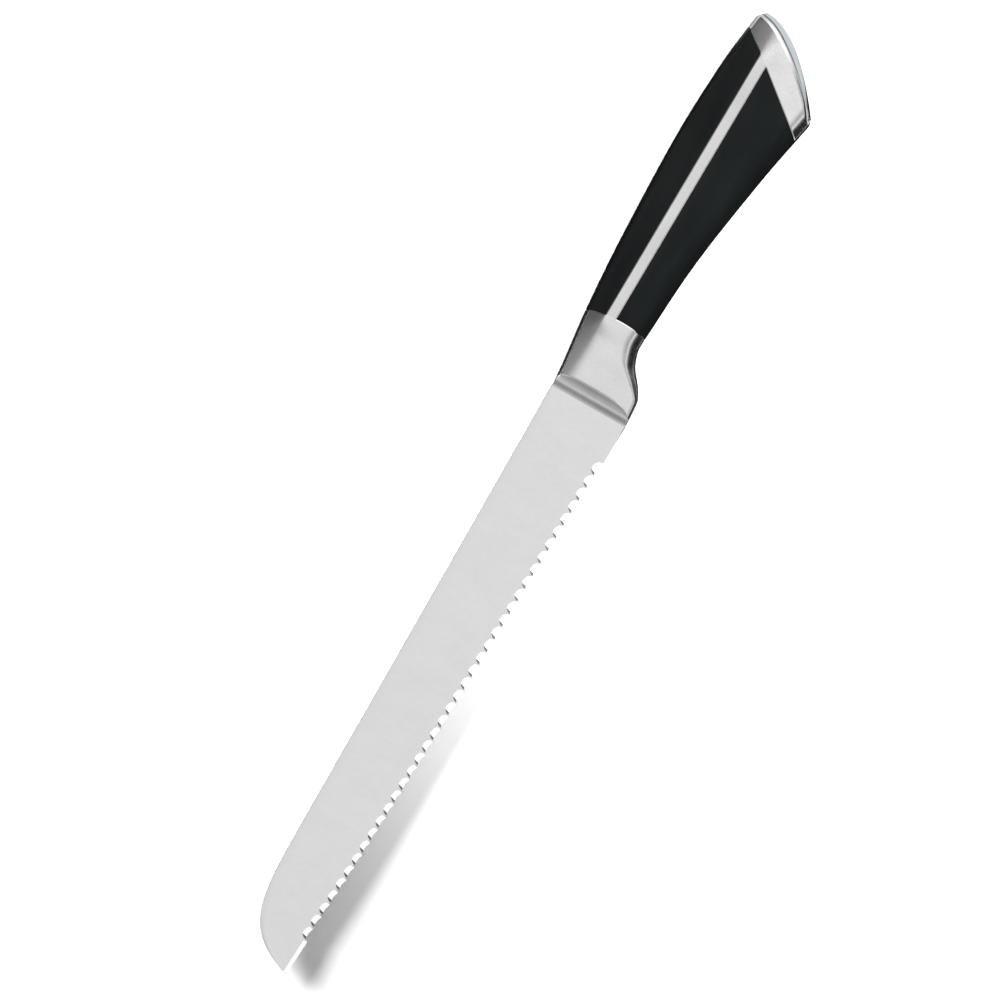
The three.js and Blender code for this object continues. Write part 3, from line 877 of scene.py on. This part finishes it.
MATERIALS = {
    "blade": steel(
        "blade_brushed_steel", grey(0.75), grey(0.87), (0.26, 0.37), (0.35, 2.6, 2.0), 0.0022, 7.0),
    "ground": steel("blade_ground_steel", grey(0.88), grey(0.95), (0.12, 0.2), (0.1, 0.8, 0.8), 0.001),
    # the ground steel painted dark: painted shade on the scallops' tip-side flanks
    "flank": steel("blade_scallop_painted_shade", grey(0.08), grey(0.15), (0.3, 0.42), (0.1, 0.8, 0.8), 0.001),
    # the seam's groove faces are coloured near-black
    "seam": moulded("seam_near_black", grey(0.012), grey(0.02), (0.6, 0.75), 0.3, 0.002, 0.1),
    "bolster": steel(
        "bolster_satin_steel", grey(0.70), grey(0.90), (0.18, 0.28), (0.45, 0.7, 0.7), 0.004, 9.0),
    # darker than the bolster's steel: painted shade on the bolster's hollow front
    "slope": steel(
        "bolster_slope_painted_shade_steel", grey(0.52), grey(0.68), (0.2, 0.3), (0.5, 0.9, 0.9), 0.0022, 9.0),
    "strip": steel(
        "strip_cross_brushed_steel", grey(0.66), grey(0.90), (0.26, 0.38), (0.3, 2.4, 2.0), 0.005, 9.0),
    "cap": steel("cap_satin_steel", grey(0.72), grey(0.94), (0.17, 0.26), (0.45, 0.7, 0.7), 0.004, 6.0),
    "butt": steel(
        "butt_polished_steel", (0.66, 0.74, 0.76), (0.74, 0.82, 0.84), (0.08, 0.14),
        (0.6, 0.6, 0.6), 0.0006),
    "cover": moulded(
        "cover_black_plastic", (0.0012, 0.0015, 0.0015), (0.0022, 0.0026, 0.0026),
        (0.34, 0.44), 0.25, 0.003, 0.08),
    "core": moulded(
        "core_grey_plastic", (0.025, 0.025, 0.026), (0.045, 0.045, 0.046),
        (0.6, 0.75), 0.6, 0.02, 0.4),
    "pin": steel("pin_turned_steel", grey(0.55), grey(0.68), (0.28, 0.42), (2.0, 2.0, 0.12), 0.004, 4.0),
    "screw": steel("screw_plated_steel", grey(0.5), grey(0.62), (0.3, 0.45), (0.3, 0.3, 0.3), 0.004, 3.0),
}

HIDDEN_NODES = {
    "left_core": "core", "right_core": "core", "front_tang_pin": "pin", "rear_tang_pin": "pin",
    "left_cap_screw": "screw", "right_cap_screw": "screw",
}


def finish_hidden_nodes():
    for node, material in HIDDEN_NODES.items():
        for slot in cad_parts[node].material_slots:
            slot.material = MATERIALS[material]


# ---------- stage ----------

VIEW_WIDTH = 0.3125
VIEW_ROLL = math.radians(60.275)
VIEW_CENTRE = (162.06, -3.84)
CAMERA_HEIGHT = 3.0
SENSOR = 36.0

FLOOR_HALF = 6.0
FLOOR_CELL = (400, 400, 400)
FLOOR_TONES = (0.4, 0.42)
# In reflections only, the floor gets painted shade beneath the handle, standing in for its shadow. Each
# change runs between two places along X, and begins with a share of the painted shade and ends with all
# of it.
FLOOR_PAINTED_SHADE = 0.004
PAINTED_SHADE_SPANS = [(0.026, 0.032, 0.0), (0.159, 0.155, 0.72)]

# The dome's light by the sine of the elevation, from the horizon to straight up
BELLY_SIDE = [(0.0, 0.3), (0.05, 0.01), (0.66, 0.01), (0.68, 1.2), (0.75, 1.2), (0.79, 0.25),
              (0.88, 0.5), (0.97, 0.93)]
SPINE_SIDE = [(0.0, 0.4), (0.04, 0.3), (0.08, 0.02), (0.3, 0.06), (0.45, 0.24), (0.7, 0.28),
              (0.97, 0.93)]
TIP_SIDE = [(0.0, 0.5), (0.06, 0.95), (0.3, 0.95), (0.42, 0.4), (0.86, 0.42), (0.95, 0.62),
            (0.995, 0.93)]
BUTT_SIDE = [(0.0, 0.9), (0.5, 1.4), (0.85, 1.4), (1.0, 0.93)]
SPINE_FROM, SPINE_WHOLE = -0.2, 0.25
# Lobes along X: the light, the way they face, how Y narrows them, where they begin and are whole
LOBES = [(TIP_SIDE, -1, -0.5, 0.05, 0.25), (BUTT_SIDE, 1, -0.9, 0.05, 0.2)]
WHITE = (1, 1, 1, 1)

KEY_ENERGY = 12.0
KEY_SPREAD = math.radians(30)
KEY_DIRECTION = (-0.2, -0.88, -0.78)
FILL_ENERGY = 60
FILL_CONE = math.radians(50)
FILL_RADIUS = 0.06
FILL_PLACE = (0.16, -0.34, 0.5)
FILL_AIM = (0.11, -0.02, 0)


def feed(tree, value, socket):
    """Links another node's output to a socket, or gives the socket a plain value."""
    if isinstance(value, bpy.types.NodeSocket):
        tree.links.new(value, socket)
    else:
        socket.default_value = value


def calculated(tree, operation, *values):
    """A Math node's result."""
    node = tree.nodes.new("ShaderNodeMath")
    node.operation = operation
    for socket, value in zip(node.inputs, values):
        feed(tree, value, socket)
    return node.outputs[0]


def share_between(tree, value, low, high, least=0.0):
    """A share that runs from least to 1 as a value goes from low to high."""
    node = tree.nodes.new("ShaderNodeMapRange")
    node.inputs["From Min"].default_value = low
    node.inputs["From Max"].default_value = high
    node.inputs["To Min"].default_value = least
    tree.links.new(value, node.inputs["Value"])
    return node.outputs["Result"]


def blended(tree, share, a, b):
    """A colour that goes from a to b."""
    node = tree.nodes.new("ShaderNodeMix")
    node.data_type = "RGBA"
    for name, value in (("Factor", share), ("A", a), ("B", b)):
        feed(tree, value, node.inputs[name])
    return node.outputs["Result"]


def ramp(tree, value, stops):
    """Greys by a value, through (position, level) stops."""
    node = tree.nodes.new("ShaderNodeValToRGB")
    elements = node.color_ramp.elements
    while len(elements) < len(stops):
        elements.new(0.5)
    for element, (position, level) in zip(elements, stops):
        element.position = position
        element.color = (level, level, level, 1)
    tree.links.new(value, node.inputs["Fac"])
    return node.outputs["Color"]


def camera():
    """Straight above the knife, turned so that the knife lies aslant."""
    data = bpy.data.cameras.new("camera")
    data.sensor_width = SENSOR
    data.lens = SENSOR * CAMERA_HEIGHT / VIEW_WIDTH
    made = bpy.data.objects.new("camera", data)
    made.location = ORIGIN + Vector((*VIEW_CENTRE, 0)) * MM + Vector((0, 0, CAMERA_HEIGHT))
    made.rotation_euler = (0, 0, -VIEW_ROLL)
    bpy.context.scene.collection.objects.link(made)
    bpy.context.scene.camera = made


def floor_tone(nodes):
    """Pale all over, but with painted shade beneath the handle that only reflections see, so that its
    edges stand out.
    """
    tree = nodes.tree
    low, high = FLOOR_TONES
    pale = nodes.tones(nodes.noise(FLOOR_CELL), grey(low), grey(high))
    place = nodes.add("ShaderNodeTexCoord")
    parts = nodes.add("ShaderNodeSeparateXYZ")
    nodes.link(place.outputs["Object"], parts.inputs[0])
    share = nodes.add("ShaderNodeLightPath").outputs["Is Glossy Ray"]
    for start, end, least in PAINTED_SHADE_SPANS:
        dark = share_between(tree, parts.outputs["X"], start, end, least)
        share = calculated(tree, "MULTIPLY", share, dark)
    return blended(tree, share, pale, (*grey(FLOOR_PAINTED_SHADE), 1))


def floor():
    nodes = Nodes("floor_pale")
    nodes.shader.inputs["Specular IOR Level"].default_value = 0.0
    nodes.link(floor_tone(nodes), nodes.shader.inputs["Base Color"])
    nodes.shader.inputs["Roughness"].default_value = 0.9
    mesh = bpy.data.meshes.new("floor")
    corners = [(x * FLOOR_HALF, y * FLOOR_HALF, 0) for x, y in ((-1, -1), (1, -1), (1, 1), (-1, 1))]
    mesh.from_pydata(corners, [], [(0, 1, 2, 3)])
    mesh.materials.append(nodes.material)
    made = bpy.data.objects.new("floor", mesh)
    bpy.context.scene.collection.objects.link(made)


def studio():
    """A dome of soft light, bright overhead, with its own bands on each side and at each end.

    The camera itself sees it as white."""
    world = bpy.data.worlds.new("studio")
    bpy.context.scene.world = world
    world.use_nodes = True
    tree = world.node_tree
    place = tree.nodes.new("ShaderNodeTexCoord")
    parts = tree.nodes.new("ShaderNodeSeparateXYZ")
    tree.links.new(place.outputs["Generated"], parts.inputs[0])
    x, y, z = parts.outputs
    spine_share = share_between(tree, y, SPINE_FROM, SPINE_WHOLE)
    light = blended(tree, spine_share, ramp(tree, z, BELLY_SIDE), ramp(tree, z, SPINE_SIDE))
    for levels, facing, narrowing, start, whole in LOBES:
        aside = calculated(tree, "ABSOLUTE", y)
        ahead = calculated(tree, "MULTIPLY", x, facing)
        lobe = calculated(tree, "MULTIPLY_ADD", aside, narrowing, ahead)
        light = blended(tree, share_between(tree, lobe, start, whole), light, ramp(tree, z, levels))
    path = tree.nodes.new("ShaderNodeLightPath")
    seen = blended(tree, path.outputs["Is Camera Ray"], light, WHITE)
    tree.links.new(seen, tree.nodes["Background"].inputs["Color"])


def add_light(name, kind, energy, direction):
    """A light that is left out of reflections."""
    data = bpy.data.lights.new(name, kind)
    data.energy = energy
    made = bpy.data.objects.new(name, data)
    made.rotation_mode = "QUATERNION"
    made.rotation_quaternion = direction.to_track_quat("-Z", "Y")
    made.visible_glossy = False
    bpy.context.scene.collection.objects.link(made)
    return made


def key_light():
    """A wide sun that lights the floor and casts the soft shadow."""
    made = add_light("key", "SUN", KEY_ENERGY, Vector(KEY_DIRECTION))
    made.data.angle = KEY_SPREAD


def handle_fill():
    """A soft spot that washes out the handle's shadow, so that it fades from the tip to the butt."""
    place = Vector(FILL_PLACE)
    made = add_light("handle_fill", "SPOT", FILL_ENERGY, Vector(FILL_AIM) - place)
    made.location = place
    made.data.spot_size = FILL_CONE
    made.data.spot_blend = 1.0
    made.data.shadow_soft_size = FILL_RADIUS


def main():
    camera()
    blade()
    bolster()
    spine_cover()
    belly_cover()
    strip("left_steel_strip", 1, "left_strip")
    strip("right_steel_strip", -1, "right_strip")
    butt_plate(end_cap())
    finish_hidden_nodes()
    floor()
    studio()
    key_light()
    handle_fill()
    bpy.context.scene.view_settings.view_transform = "Standard"


main()
